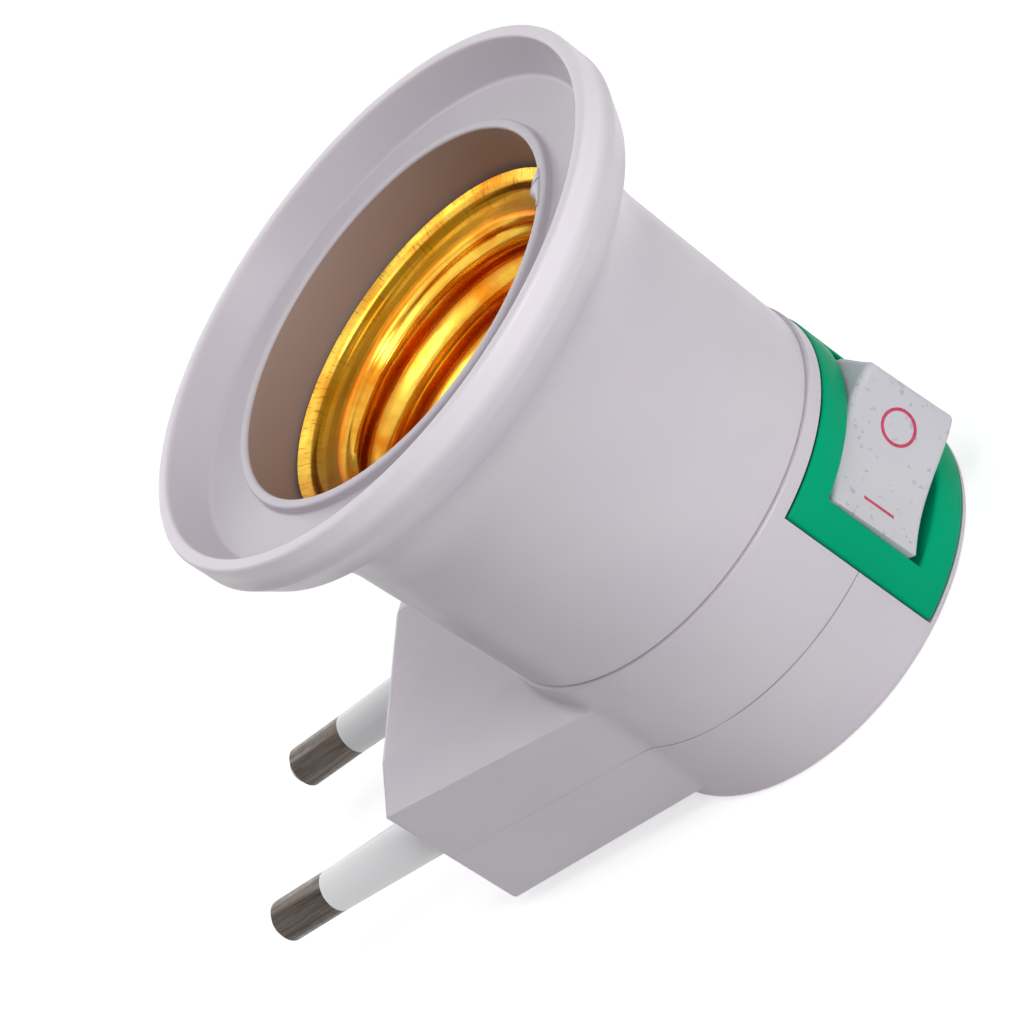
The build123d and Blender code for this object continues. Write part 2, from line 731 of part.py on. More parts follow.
# Switched strip: the load terminal, up through the deck to the centre rivet
with BuildPart() as load_strip:
    load_low = rocker_middle - tip_radius - 1
    with BuildSketch(Plane.XY.offset(load_low)):
        with Locations((switched_place, terminal_face + strip / 2)):
            Rectangle(2 * switched_half_width, strip)
    extrude(amount=deck_top - load_low)
    with BuildSketch(Plane.XY.offset(strip_seat)):
        tab_length = switched_place + switched_half_width + strip_half_width
        with Locations((tab_length / 2 - strip_half_width, (switched_tab_end + tray_face) / 2)):
            Rectangle(tab_length, tray_face - switched_tab_end)
        with Locations((0, centre_rivet_place)):
            Circle(rivet_radius + 0.01, mode=Mode.SUBTRACT)
    extrude(amount=strip)
    with BuildSketch(terminal_plane):
        Circle(tip_radius / 2)
    extrude(amount=strip, mode=Mode.SUBTRACT)
load_strip.part.label = "load_strip"
export_step(load_strip.part, "parts/load_strip.step")


# Neutral strip: from the right pin, over the switch side and up to the shell rivet
tail_hole_end = strip_tab_place - 2 * strip - block_face
tail_hole_radius = pin_tail_radius + 0.01
tail_hole = ((0, 0), (0, tail_hole_radius), (tail_hole_end, tail_hole_radius), (tail_hole_end, 0))
with BuildPart() as neutral_strip:
    middle = strip / 2
    add(bent_strip(((strip_tab_place, parting_height - 2), (strip_tab_place, neutral_height + middle),
                    (neutral_rise, neutral_height + middle), (neutral_rise, strip_seat + middle),
                    (-2, strip_seat + middle)), strip_half_width, strip_offset))
    add(turned_on_pin(1, tail_hole), mode=Mode.SUBTRACT)
    with BuildSketch(Plane.XY.offset(strip_seat)):
        with Locations((shell_rivet_place, 0)):
            Circle(rivet_radius + 0.01)
    extrude(amount=strip, mode=Mode.SUBTRACT)
neutral_strip.part.label = "neutral_strip"
export_step(neutral_strip.part, "parts/neutral_strip.step")


# Live strip: from the left pin along the floor to the common terminal
with BuildPart() as live_strip:
    with BuildSketch(Plane.XY.offset(live_height)):
        with Locations((-strip_offset, (strip_tab_place + live_turn - strip_half_width) / 2)):
            Rectangle(2 * strip_half_width, strip_tab_place - live_turn + strip_half_width + strip)
        with Locations((-strip_offset / 2, live_turn)):
            Rectangle(strip_offset + 2 * strip_half_width, 2 * strip_half_width)
        with Locations((0, (live_turn + terminal_face) / 2)):
            Rectangle(2 * strip_half_width, live_turn - terminal_face)
    extrude(amount=strip)
    with BuildSketch(Plane.XY.offset(live_height)):
        with Locations((-strip_offset, strip_tab_place)):
            Rectangle(2 * strip_half_width, strip)
    extrude(amount=parting_height + 2 - live_height)
    add(turned_on_pin(-1, tail_hole), mode=Mode.SUBTRACT)
live_strip.part.label = "live_strip"
export_step(live_strip.part, "parts/live_strip.step")


# Plug pins and their insulating sleeves
tail_front = strip_tab_place + strip / 2 - block_face
tail_back = strip_tab_place - strip / 2 - block_face
for side, name in ((-1, "left"), (1, "right")):
    with BuildPart() as plug_pin:
        tip = pin_length - pin_tip_rounding
        add(turned_on_pin(side, (
            (pin_length, 0), (pin_length, pin_radius - pin_tip_rounding), (tip, pin_radius),
            (pin_sleeve_length, pin_radius), (pin_sleeve_length, pin_neck_radius),
            (tail_front + 0.2, pin_neck_radius), (tail_front + 0.2, pin_tail_radius),
            (tail_back - 0.2, pin_tail_radius), (tail_back - 0.2, pin_neck_radius),
            (tail_back - 0.8, pin_neck_radius), (tail_back - 0.8, 0))))
    plug_pin.part.label = f"plug_pin_{name}"
    export_step(plug_pin.part, f"parts/plug_pin_{name}.step")

    with BuildPart() as pin_sleeve:
        inside = pin_neck_radius + 0.01
        flange_front = -front_wall - seat_gap
        flange_back = flange_front - sleeve_flange_thickness
        add(turned_on_pin(side, (
            (pin_sleeve_length, inside), (pin_sleeve_length, pin_radius), (0, sleeve_root_radius),
            (flange_front, sleeve_root_radius), (flange_front, sleeve_flange_radius),
            (flange_back, sleeve_flange_radius), (flange_back, inside))))
    pin_sleeve.part.label = f"pin_sleeve_{name}"
    export_step(pin_sleeve.part, f"parts/pin_sleeve_{name}.step")


# Insulating cup that carries the shell's lip on its top edge
lip_slope = (shell_lip_height - shell_band_height) / (shell_lip_radius - shell_band_radius)


def lip_underside(radius):
    """Height of the underside of the shell's lip."""
    thickness = sheet / math.cos(math.atan(lip_slope))
    return shell_band_height - thickness + (radius - shell_band_radius) * lip_slope


with BuildPart() as shell_carrier:
    with BuildSketch(Plane.XZ):
        with BuildLine():
            Polyline((0, cup_bottom), (cup_foot_radius, cup_bottom), (cup_foot_radius, collar_top + seat_gap),
                     (cup_radius, collar_top + seat_gap), (cup_radius, lip_underside(cup_radius) - 1.2),
                     (cup_lip_radius, lip_underside(cup_lip_radius) - contact_gap),
                     (cup_lip_inside, lip_underside(cup_lip_inside) - contact_gap),
                     (cup_lip_inside, collar_top + 3), (cup_foot_inside, collar_top + 1),
                     (cup_foot_inside, cup_floor_top), (0, cup_floor_top), close=True)
        make_face()
    revolve(axis=Axis.Z)
    with BuildSketch(Plane.XY.offset(cup_floor_top)):
        with Locations(*core_screw_places):
            Circle(cup_boss_radius)
    extrude(amount=cup_boss_height)
    with BuildSketch(Plane.XY.offset(cup_bottom)):
        with Locations(*core_screw_places):
            Circle(screw_radius + 0.01)
    extrude(amount=cup_floor + cup_boss_height - 0.6, mode=Mode.SUBTRACT)
    with BuildSketch(Plane.XY.offset(cup_bottom)):
        with Locations((-shell_rivet_place, 0), (shell_rivet_place, 0), (0, centre_rivet_place)):
            Circle(rivet_radius + 0.01)
    extrude(amount=cup_floor, mode=Mode.SUBTRACT)
shell_carrier.part.label = "shell_carrier"
export_step(shell_carrier.part, "parts/shell_carrier.step")


# Brass lamp shell: flared lip, rolled thread as rings of one pitch, and a riveted flange at the bottom
thread_middle = (thread_major + thread_minor + sheet) / 2
thread_wave = (thread_major - thread_minor) / 2
shell_flange_height = cup_floor_top + sheet / 2
thread_top = shell_band_height - shell_neck
thread_turns = math.floor((thread_top - shell_flange_height - shell_foot) / thread_pitch)
thread_bottom = thread_top - thread_turns * thread_pitch
with BuildPart() as screw_shell:
    with BuildSketch(Plane.XZ):
        with BuildLine():
            lip_line = Line((shell_lip_radius, shell_lip_height - sheet / 2),
                            (shell_band_radius + 0.3, shell_band_height - sheet / 2 + 0.3 * lip_slope))
            TangentArc(lip_line @ 1, (thread_middle, thread_top), tangent=lip_line % 1)
            for turn in range(2 * thread_turns):
                upper = thread_top - turn * thread_pitch / 2
                bulge = thread_wave if turn % 2 == 0 else -thread_wave
                SagittaArc((thread_middle, upper), (thread_middle, upper - thread_pitch / 2), bulge)
            FilletPolyline((thread_middle, thread_bottom), (thread_middle, shell_flange_height),
                           (shell_flange_inside, shell_flange_height), radius=0.6)
            offset(amount=sheet / 2, side=Side.BOTH)
        make_face()
    revolve(axis=Axis.Z)
    with BuildSketch(Plane.XY.offset(cup_floor_top)):
        with Locations((-shell_rivet_place, 0), (shell_rivet_place, 0)):
            Circle(rivet_radius + 0.01)
    extrude(amount=2 * sheet, mode=Mode.SUBTRACT)
screw_shell.part.label = "screw_shell"
export_step(screw_shell.part, "parts/screw_shell.step")


# Sprung tongue for the lamp's tip, and the rivet that holds it
with BuildPart() as centre_contact:
    pad = cup_floor_top + sheet / 2
    add(bent_strip(((tongue_pad_end, pad), (tongue_bend, pad), (-0.9, tongue_top), (1.2, tongue_top),
                    (2.6, tongue_top - 1.4)), tongue_half_width, 0, 0.5, sheet))
    with BuildSketch(Plane.XY.offset(cup_floor_top)):
        with Locations((0, centre_rivet_place)):
            Circle(rivet_radius + 0.01)
    extrude(amount=2 * sheet, mode=Mode.SUBTRACT)
centre_contact.part.label = "centre_contact"
export_step(centre_contact.part, "parts/centre_contact.step")

with BuildPart() as centre_rivet:
    add(rivet(0, centre_rivet_place, strip_seat, cup_floor_top + sheet))
centre_rivet.part.label = "centre_rivet"
export_step(centre_rivet.part, "parts/centre_rivet.step")

with BuildPart() as shell_rivets:
    add(rivet(shell_rivet_place, 0, strip_seat, cup_floor_top + sheet))
    add(rivet(-shell_rivet_place, 0, cup_bottom, cup_floor_top + sheet))
shell_rivets.part.label = "shell_rivets"
export_step(shell_rivets.part, "parts/shell_rivets.step")


# Screws: three through the base halves, two through the deck into the cup
def screw(x, y, seat, depth):
    """Screw driven upwards, with its head below the seat and a cross slot in the head."""
    with BuildPart() as piece:
        with BuildSketch(Plane.XY.offset(seat)):
            with Locations((x, y)):
                Circle(screw_head_radius)
        extrude(amount=-screw_head)
        fillet(piece.edges().group_by(Axis.Z)[0], screw_head / 3)
        with BuildSketch(Plane.XY.offset(seat)):
            with Locations((x, y)):
                Circle(screw_radius)
        extrude(amount=depth)
        chamfer(piece.edges().group_by(Axis.Z)[-1], screw_radius / 2)
        with BuildSketch(Plane.XY.offset(seat - screw_head)):
            with Locations((x, y)):
                Rectangle(screw_head_radius * 1.2, 0.5)
                Rectangle(0.5, screw_head_radius * 1.2)
        extrude(amount=screw_head / 2, mode=Mode.SUBTRACT)
    return piece.part


with BuildPart() as housing_screws:
    for place, length in zip(housing_screw_places, housing_screw_lengths):
        add(screw(*place, head_seat, length))
housing_screws.part.label = "housing_screws"
export_step(housing_screws.part, "parts/housing_screws.step")

with BuildPart() as core_screws:
    for place in core_screw_places:
        add(screw(*place, deck_bottom, deck_thickness + cup_floor + cup_boss_height - 0.9))
core_screws.part.label = "core_screws"
export_step(core_screws.part, "parts/core_screws.step")
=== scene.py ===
import json
import math

import bpy
import numpy as np
from mathutils import Matrix, Vector


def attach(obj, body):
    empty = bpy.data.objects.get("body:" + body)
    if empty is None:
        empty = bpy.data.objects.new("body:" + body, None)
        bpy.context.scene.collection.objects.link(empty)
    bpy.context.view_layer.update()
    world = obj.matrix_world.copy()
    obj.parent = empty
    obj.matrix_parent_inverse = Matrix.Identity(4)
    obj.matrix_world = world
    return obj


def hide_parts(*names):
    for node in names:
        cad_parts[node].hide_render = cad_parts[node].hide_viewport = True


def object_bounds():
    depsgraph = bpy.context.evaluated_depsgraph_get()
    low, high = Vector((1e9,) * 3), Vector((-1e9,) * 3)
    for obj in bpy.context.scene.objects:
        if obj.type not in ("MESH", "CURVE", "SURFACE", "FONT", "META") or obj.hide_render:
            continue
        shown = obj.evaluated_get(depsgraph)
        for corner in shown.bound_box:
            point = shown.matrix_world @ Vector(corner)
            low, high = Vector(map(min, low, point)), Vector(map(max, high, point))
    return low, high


# Plug-in lamp holder: camera, lights, finishes and the pieces that show.
# Sizes are given in millimetres and scaled by mm; Blender works in metres.
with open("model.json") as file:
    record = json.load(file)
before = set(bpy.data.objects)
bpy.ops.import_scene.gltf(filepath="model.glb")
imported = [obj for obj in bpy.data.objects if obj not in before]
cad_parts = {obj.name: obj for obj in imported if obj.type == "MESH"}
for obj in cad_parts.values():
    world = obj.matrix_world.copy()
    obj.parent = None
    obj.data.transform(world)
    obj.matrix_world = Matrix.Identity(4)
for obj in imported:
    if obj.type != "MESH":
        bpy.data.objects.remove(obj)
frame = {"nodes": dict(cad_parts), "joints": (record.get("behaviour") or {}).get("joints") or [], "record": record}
cad_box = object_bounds()
nodes = frame["nodes"]
joints = {joint["name"]: joint for joint in frame["joints"]}
mounts = {mount["name"]: mount for mount in frame["record"]["mounts"]}
mm = 0.001
white = (1, 1, 1, 1)

# Camera at the photograph's view
camera_place = Vector((-193.96, -142.73, 154.14)) * mm
camera_forward = Vector((0.6965, 0.5461, -0.4654)).normalized()
camera_up = Vector((0.71597, -0.48610, 0.50110)).normalized()
camera_lens = 120.61
camera_sensor = 36.0

# Lamp sleeve. Its rim, beyond the highlight radius and above the highlight height given below, is lightened a
# little as a painted highlight.
waist_radius = 18.2
waist_height = 35.5
foot_radius = 17.75
seam_height = 18.55
bore_radius = 16.72
flare_radius = 9.0
flare_end_radius = 23.2
rim_radius = 24.57
rim_low = 46.0
rim_top = round(cad_box[1][2] / mm, 2)
crest_radius = 23.45
dish_radius = 22.1
dish_height = 45.5
lip_radius = 17.59
lip_height = 46.4
highlight_radius = 23.3
highlight_height = 46.6

# Nub inside the tube lip
nub_angle = math.radians(-85.0)
nub_root = 0.2
nub_middle = 45.85
nub_half_height = 0.68

# Plug block: half sizes of its section at the root and at the face, and its fillet to the base.
# Above frame_gap the switch frame's upper edge lies in its own gap, and its colour there is darkened as painted
# shade.
base_radius = 18.05
parting_height = 8.9
frame_gap = 16.97
block_root = 6.0
block_face = round(mounts["plug_face"]["pos_m"][1] / mm, 2)
root_sizes = (16.07, 6.31, 7.5, 8.89)
face_sizes = (13.95, 7.4, 8.4, 8.5)
fillet_reach = 0.75
fillet_overlap = 0.2
fillet_tuck = 0.03
fillet_steps = 8

# Brass lamp shell: centreline of its rolled thread, floor and flared lip
sheet = 0.35
floor_bend = 0.6
thread_end = 0.4
thread_middle = 12.925
thread_wave = 0.55
thread_pitch = 3.63
thread_bottom = 20.575
thread_top = 38.725
shell_floor = 19.275
shell_flange_inside = 8.6
shell_ledge = [(13.0, 39.25), (13.15, 39.4), (13.4, 39.52), (13.9, 39.7), (14.4, 39.88), (14.9, 40.1),
               (15.12, 40.28), (15.25, 40.5), (15.34, 40.78), (15.5, 40.95), (15.9, 41.18), (16.25, 41.38)]

# Rocker: face_low and face_high give the distance of its face from the pivot by place across, at its
# lower and upper edge. rocker_side is the outline of its side. The marks are printed on its face.
pivot = Vector(joints["rocker_tilt"]["pos_m"]) / mm
rocker_tilt = math.radians(joints["rocker_tilt"]["range_deg"][1] / 2)
rocker_tips = (6.5, -6.8)
rocker_low = 4.8
rocker_high = 13.85
rocker_wall = 1.0
rocker_rounding = 0.5
face_low = ((6.5, 7.12), (4.1, 7.1), (2.8, 6.98), (0.3, 6.6), (-2.4, 6.42), (-5.3, 6.73), (-6.8, 7.02))
face_high = ((6.5, 6.35), (5.1, 5.8), (3.8, 5.44), (2.1, 5.27), (-1.5, 5.3), (-4.5, 5.85), (-6.8, 6.68))
rocker_side = ((8.4, -0.32), (8.06, 2.37), (7.0, 4.9))
print_height = 0.015
print_root = 0.05
ring_place = 2.9
ring_height = 9.32
ring_radius = 1.64
ring_inside = 1.36
stroke = ((-4.78, 7.68), (-4.5, 7.68), (-4.35, 10.81), (-4.63, 10.81))


def srgb(red, green, blue):
    """Linear colour of 0 to 255 screen values."""
    linear = []
    for value in (red, green, blue):
        part = value / 255
        linear.append(part / 12.92 if part <= 0.04045 else ((part + 0.055) / 1.055) ** 2.4)
    return (*linear, 1.0)


white_light = srgb(216, 209, 217)
white_shade = srgb(210, 203, 212)
# Painted highlight of the rim's top and outer edge.
rim_painted_highlight = srgb(238, 231, 239)
# Painted shade of the parting line's groove.
groove_painted_shade = srgb(140, 129, 136)
# Painted shade inside the bore, warmed as a painted reflection of the brass.
bore_painted_shade = srgb(172, 155, 150)
# Painted shade of the switch frame's edge in its gap.
painted_gap_shade = srgb(8, 40, 30)
tarnish_orange = srgb(206, 100, 12)
tarnish_brown = srgb(138, 92, 8)
scratch_brown = srgb(120, 74, 14)


class Nodes:
    """Shader nodes of a material or of the world, built a node at a time."""

    def __init__(self, owner, output="OutputMaterial"):
        owner.use_nodes = True
        self.owner = owner
        self.tree = owner.node_tree
        self.tree.nodes.clear()
        self.output = self.node(output)

    def node(self, kind, inputs=None, **settings):
        """Adds a node; inputs are values, colours or other nodes' sockets by input name or number."""
        made = self.tree.nodes.new("ShaderNode" + kind)
        for key, value in settings.items():
            setattr(made, key, value)
        for key, value in (inputs or {}).items():
            socket = made.inputs[key]
            if isinstance(value, bpy.types.NodeSocket):
                self.tree.links.new(value, socket)
            else:
                socket.default_value = value
        return made

    def place(self, scale=(1, 1, 1)):
        """Object coordinates in millimetres, scaled."""
        coordinates = self.node("TexCoord")
        mapping = self.node("Mapping", {"Vector": coordinates.outputs["Object"]})
        mapping.inputs["Scale"].default_value = [1000 * value for value in scale]
        return mapping.outputs["Vector"]

    def axis(self, name):
        """Object coordinate X, Y or Z in millimetres."""
        return self.node("SeparateXYZ", {"Vector": self.place()}).outputs[name]

    def radius(self):
        """Distance from the lamp axis in millimetres."""
        flat = self.node("CombineXYZ", {"X": self.axis("X"), "Y": self.axis("Y")}).outputs["Vector"]
        return self.node("VectorMath", {0: flat}, operation="LENGTH").outputs["Value"]

    def noise(self, scale, detail=2.0, roughness=0.5, vector=None):
        """Noise value between 0 and 1, with scale in cycles per millimetre."""
        vector = vector or self.place()
        inputs = {"Vector": vector, "Scale": scale, "Detail": detail, "Roughness": roughness}
        return self.node("TexNoise", inputs).outputs["Fac"]

    def span(self, value, low, high, to_low, to_high):
        """Maps a value from one range to another, clamped."""
        made = self.node("MapRange", {"Value": value, "From Min": low, "From Max": high,
                                      "To Min": to_low, "To Max": to_high})
        return made.outputs["Result"]

    def math(self, operation, first, second=0.0):
        """Result of a math node."""
        return self.node("Math", {0: first, 1: second}, operation=operation).outputs["Value"]

    def mix(self, factor, first, second):
        """Mixes two colours."""
        return self.node("Mix", {0: factor, 6: first, 7: second}, data_type="RGBA").outputs[2]

    def bump(self, height, strength, distance, normal=None):
        """Bumped normal; distance is in millimetres."""
        inputs = {"Height": height, "Strength": strength, "Distance": distance * mm}
        if normal is not None:
            inputs["Normal"] = normal
        return self.node("Bump", inputs).outputs["Normal"]

    def principled(self, **inputs):
        """Principled shader at the output; input names have their spaces written as underscores."""
        inputs = {key.replace("_", " "): value for key, value in inputs.items()}
        return self.finish(self.node("BsdfPrincipled", inputs))

    def seen(self):
        """1 for what the camera sees, also by reflection or through glass, and 0 for what only lights."""
        path = self.node("LightPath")
        total = path.outputs["Is Camera Ray"]
        for ray in ("Is Glossy Ray", "Is Transmission Ray"):
            total = self.math("ADD", total, path.outputs[ray])
        return total

    def finish(self, shader):
        """Joins the shader to the output and returns the material or world."""
        self.tree.links.new(shader.outputs[0], self.output.inputs["Surface"])
        return self.owner


def new_material(name):
    """Nodes of a new material."""
    return Nodes(bpy.data.materials.new(name))


def plastic(name, base, shade, roughness, specks=(), subsurface=0.04, line=None, dark=None, bore=None,
            specular=0.5):
    """Moulded plastic: faint cloudiness, uneven gloss and a fine moulded skin.

    specks are (colour, scale, threshold, strength), line is the height of a parting line, whose groove is darkened
    as painted shade, dark the height above which an edge lies in its own gap and is darkened as painted shade, and
    bore the radius and top of a bore whose inside is darkened as painted shade and warmed as a painted reflection
    of the brass. Round a bore, the rim's outermost edge is lightened as a painted highlight.
    """
    made = new_material(name)
    cloud = made.noise(0.06, 3.0)
    colour = made.mix(made.span(cloud, 0.35, 0.65, 0, 1), base, shade)
    for speck_colour, scale, threshold, strength in specks:
        spot = made.noise(scale, 1.0)
        colour = made.mix(made.span(spot, threshold, threshold + 0.05, 0, strength), colour, speck_colour)
    gloss = made.span(made.noise(0.35, 4.0), 0.3, 0.7, roughness - 0.05, roughness + 0.07)
    normal = made.bump(made.noise(0.22, 2.0), 0.25, 0.06)
    normal = made.bump(made.noise(6.0, 3.0), 0.12, 0.01, normal)
    # Painted shade: a narrow band at the parting line's height is darkened as the shade of its groove, less
    # towards the block's face and at random; the bump shapes the groove.
    if line:
        away = made.math("ABSOLUTE", made.math("SUBTRACT", made.axis("Z"), line))
        groove = made.span(away, 0.03, 0.1, 1, 0)
        fade = made.span(made.noise(0.12, 2.0), 0.35, 0.6, 0.35, 0.8)
        fade = made.math("MULTIPLY", fade, made.span(made.axis("Y"), 9, 14, 1, 0.2))
        groove = made.math("MULTIPLY", groove, fade)
        colour = made.mix(groove, colour, groove_painted_shade)
        normal = made.bump(made.math("SUBTRACT", 1.0, groove), 0.4, 0.1, normal)
    # Painted shade: inside the bore, below its top, the colour is darkened and warmed as a painted reflection of
    # the brass.
    if bore:
        radius = made.radius()
        inside = made.math("MULTIPLY", made.span(radius, bore[0], bore[0] + 0.08, 1, 0),
                           made.span(made.axis("Z"), bore[1] - 0.12, bore[1], 1, 0))
        colour = made.mix(inside, colour, bore_painted_shade)
        # Painted highlight: the rim beyond one radius and above one height is lightened.
        edge = made.math("MULTIPLY", made.span(radius, highlight_radius, highlight_radius + 0.3, 0, 1),
                         made.span(made.axis("Z"), highlight_height, highlight_height + 1, 0, 1))
        colour = made.mix(edge, colour, rim_painted_highlight)
    # Painted shade: above the height dark, where an edge lies in its gap, its colour is darkened.
    if dark:
        colour = made.mix(made.span(made.axis("Z"), dark, dark + 0.08, 0, 0.9), colour, painted_gap_shade)
    return made.principled(Base_Color=colour, Roughness=gloss, IOR=1.49, Normal=normal,
                           Specular_IOR_Level=specular, Subsurface_Weight=subsurface,
                           Subsurface_Radius=(0.6 * mm, 0.5 * mm, 0.45 * mm), Subsurface_Scale=1.0)


def brass(name, bright, deep, roughness, streaks, valley=None, ledge=None):
    """Rolled brass: colour drifts to orange, with fine lines and tarnish in the thread's valleys.

    valley gives the radii where the tarnish starts, is full and ends. ledge is a range of radius that
    has darkened.
    """
    made = new_material(name)
    drift = made.noise(0.25, 4.0)
    colour = made.mix(made.span(drift, 0.35, 0.7, 0, 1), bright, deep)
    if valley:
        low, high, end = valley
        radius = made.radius()
        tarnish = made.math("MULTIPLY", made.span(radius, low, high, 0, 0.85),
                            made.span(radius, end, end + 0.5, 1, 0))
        colour = made.mix(tarnish, colour, tarnish_orange)
        tarnish = made.math("MULTIPLY", made.span(radius, ledge[0], ledge[0] + 0.15, 0, 0.9),
                            made.span(radius, ledge[1], ledge[1] + 0.12, 1, 0))
        colour = made.mix(tarnish, colour, tarnish_brown)
        turn = made.node("Math", {0: made.axis("Y"), 1: made.axis("X")}, operation="ARCTAN2").outputs["Value"]
        scratches = made.node("CombineXYZ", {"X": made.math("MULTIPLY", turn, 55.0),
                                             "Y": made.math("MULTIPLY", radius, 0.7)}).outputs["Vector"]
        scratches = made.span(made.noise(1.0, 3.0, 0.6, scratches), 0.55, 0.66, 0, 0.6)
        scratches = made.math("MULTIPLY", scratches, made.span(radius, 14.2, 14.8, 0, 1))
        colour = made.mix(scratches, colour, scratch_brown)
    lines = made.noise(1.0, 3.0, 0.6, made.place(streaks))
    gloss = made.span(lines, 0.3, 0.7, roughness - 0.06, roughness + 0.12)
    normal = made.bump(lines, 0.3, 0.02)
    return made.principled(Base_Color=colour, Metallic=1.0, Roughness=gloss, Normal=normal)


def metal(name, light, dark, roughness, streaks, grain=1.0):
    """Plain metal with streaks along the given scale."""
    made = new_material(name)
    lines = made.noise(grain, 4.0, 0.6, made.place(streaks))
    colour = made.mix(made.span(lines, 0.35, 0.65, 0, 1), light, dark)
    gloss = made.span(made.noise(1.2, 3.0), 0.3, 0.7, roughness - 0.08, roughness + 0.12)
    normal = made.bump(lines, 0.25, 0.02)
    return made.principled(Base_Color=colour, Metallic=1.0, Roughness=gloss, Normal=normal)


finishes = {
    "white_plastic": plastic("white_plastic", white_light, white_shade, 0.34),
    # The frame's edge above frame_gap is darkened as painted shade.
    "green_plastic": plastic("green_plastic", srgb(0, 172, 124), srgb(0, 162, 116), 0.45, subsurface=0.0,
                             dark=frame_gap, specular=0.05),
    "rocker_plastic": plastic("rocker_plastic", srgb(214, 213, 218), srgb(206, 204, 212), 0.4,
                              specks=((srgb(150, 165, 190), 1.5, 0.68, 0.6),
                                      (srgb(196, 160, 196), 1.2, 0.68, 0.5))),
    "sleeve_plastic": plastic("sleeve_plastic", srgb(254, 254, 255), srgb(250, 250, 252), 0.35),
    "insulator_plastic": plastic("insulator_plastic", srgb(205, 198, 188), srgb(192, 184, 174), 0.5),
    "shell_brass": brass("shell_brass", srgb(255, 212, 84), srgb(228, 132, 26), 0.18, (0.4, 0.4, 3.0),
                         (12.8, 13.3, 13.4), (13.3, 15.2)),
    "contact_brass": brass("contact_brass", srgb(236, 196, 96), srgb(214, 160, 64), 0.3, (0.5, 3.0, 0.5)),
    "contact_silver": metal("contact_silver", srgb(225, 224, 220), srgb(200, 198, 196), 0.3, (2, 2, 2)),
    "pin_metal": metal("pin_metal", srgb(102, 94, 88), srgb(64, 57, 52), 0.34, (2.5, 0.12, 2.5)),
    "screw_steel": metal("screw_steel", srgb(190, 190, 192), srgb(150, 150, 154), 0.32, (2, 2, 2)),
}
# The mouth's bore gets painted shade and its rim a painted highlight.
sleeve_finish = plastic("mouth_plastic", white_light, white_shade, 0.34,
                        bore=(bore_radius + 0.03, lip_height - 0.18))
# The housing's parting line gets the painted shade of its groove.
housing_finish = plastic("housing_plastic", white_light, white_shade, 0.34, line=parting_height)
for row in frame["record"]["subparts"]:
    finished = nodes[row["node"]]
    finished.data.materials.clear()
    finished.data.materials.append(finishes[row["material_slot"]])
for name in ("base_upper", "base_lower"):
    nodes[name].data.materials.clear()
    nodes[name].data.materials.append(housing_finish)


def new_piece(name, vertices, faces, finish, body, smooth=True):
    """Mesh piece in millimetres that rides on a body."""
    mesh = bpy.data.meshes.new(name)
    mesh.from_pydata([Vector(vertex) * mm for vertex in vertices], [], faces)
    mesh.validate()
    mesh.materials.append(finishes.get(finish) or finish)
    if smooth:
        mesh.shade_smooth()
        mesh.set_sharp_from_angle(angle=math.radians(40))
    piece = bpy.data.objects.new(name, mesh)
    bpy.context.scene.collection.objects.link(piece)
    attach(piece, body)
    return piece


def rounded_line(corners, steps=6):
    """Closed line of (x, y) points from (x, y, rounding) corners."""
    line = []
    for index, (x, y, rounding) in enumerate(corners):
        here = Vector((x, y))
        if rounding == 0:
            line.append(here)
            continue
        before = Vector(corners[index - 1][:2]) - here
        after = Vector(corners[(index + 1) % len(corners)][:2]) - here
        half = before.angle(after) / 2
        reach = rounding / math.tan(half)
        start = here + before.normalized() * reach
        end = here + after.normalized() * reach
        centre = here + (before.normalized() + after.normalized()).normalized() * rounding / math.sin(half)
        first = start - centre
        last = end - centre
        turn = first.angle_signed(last)
        for step in range(steps + 1):
            line.append(centre + Matrix.Rotation(-turn * step / steps, 2) @ first)
    return line


def turned(name, section, segments, finish):
    """Piece from the closed (radius, z) line that section gives for each angle round the lamp axis."""
    vertices = []
    for segment in range(segments):
        angle = 2 * math.pi * segment / segments
        vertices += [(radius * math.cos(angle), radius * math.sin(angle), z) for radius, z in section(angle)]
    count = len(vertices) // segments
    faces = []
    for segment in range(segments):
        a = segment * count
        b = (segment + 1) % segments * count
        for index in range(count):
            after = (index + 1) % count
            faces.append((a + index, b + index, b + after, a + after))
    return new_piece(name, vertices, faces, finish, "housing")


# Lamp sleeve, turned from its section with rounded rim and lip
flare_centre = waist_radius + flare_radius
flare_end = math.acos((flare_end_radius - flare_centre) / flare_radius)
sleeve_line = [(foot_radius, seam_height + 0.15), (foot_radius + 0.01, seam_height + 0.3)]
flare_steps = 28
for step in range(flare_steps + 1):
    angle = math.pi + (flare_end - math.pi) * step / flare_steps
    sleeve_line.append((flare_centre + flare_radius * math.cos(angle),
                        waist_height + flare_radius * math.sin(angle)))
flare_top = waist_height + flare_radius * math.sin(flare_end)
upper_corners = ((flare_end_radius, flare_top, 0), (rim_radius, rim_low, 0.5), (rim_radius, rim_top, 0.3),
                 (crest_radius, rim_top, 0.3), (dish_radius, dish_height, 0.5),
                 (lip_radius, dish_height, 0.25), (lip_radius, lip_height, 0.25),
                 (bore_radius, lip_height, 0.25), (bore_radius, seam_height, 0))
sleeve_line += [tuple(point) for point in rounded_line(upper_corners)][1:]
sleeve_line.append((foot_radius - 0.15, seam_height))
mouth = turned("mouth_sleeve_skin", lambda angle: sleeve_line, 288, sleeve_finish)
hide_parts("mouth_sleeve")


